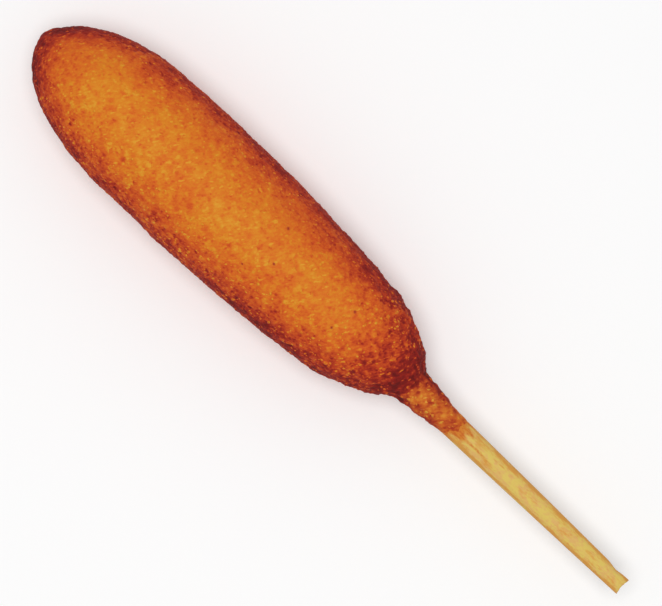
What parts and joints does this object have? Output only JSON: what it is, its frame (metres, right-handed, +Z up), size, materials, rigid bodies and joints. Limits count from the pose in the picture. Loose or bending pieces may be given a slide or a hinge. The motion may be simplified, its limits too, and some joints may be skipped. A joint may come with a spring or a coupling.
{
  "type": "corn dog",
  "caption": "Fried corn batter on a round wooden stick, lying on its side, with a rounded tip and a crusty collar where the stick leaves it.",
  "frame": {"origin": "under the middle of the whole corn dog, on the plane that it lies on", "axes": "+X along the corn dog from its rounded tip to the free end of the stick, +Z up towards the side that shows, +Y completes the right-handed frame"},
  "size_m": [0.1944, 0.0344, 0.0335],
  "materials": {
    "crust": "fried corn batter crust: golden brown, finely grained, red-brown at its flanks, tip and neck",
    "stick_wood": "bare pale wood, straight grain, stained with oil beside the batter"
  },
  "bodies": {
    "root": {"batter": "crust", "stick": "stick_wood"}
  },
  "joints": []
}
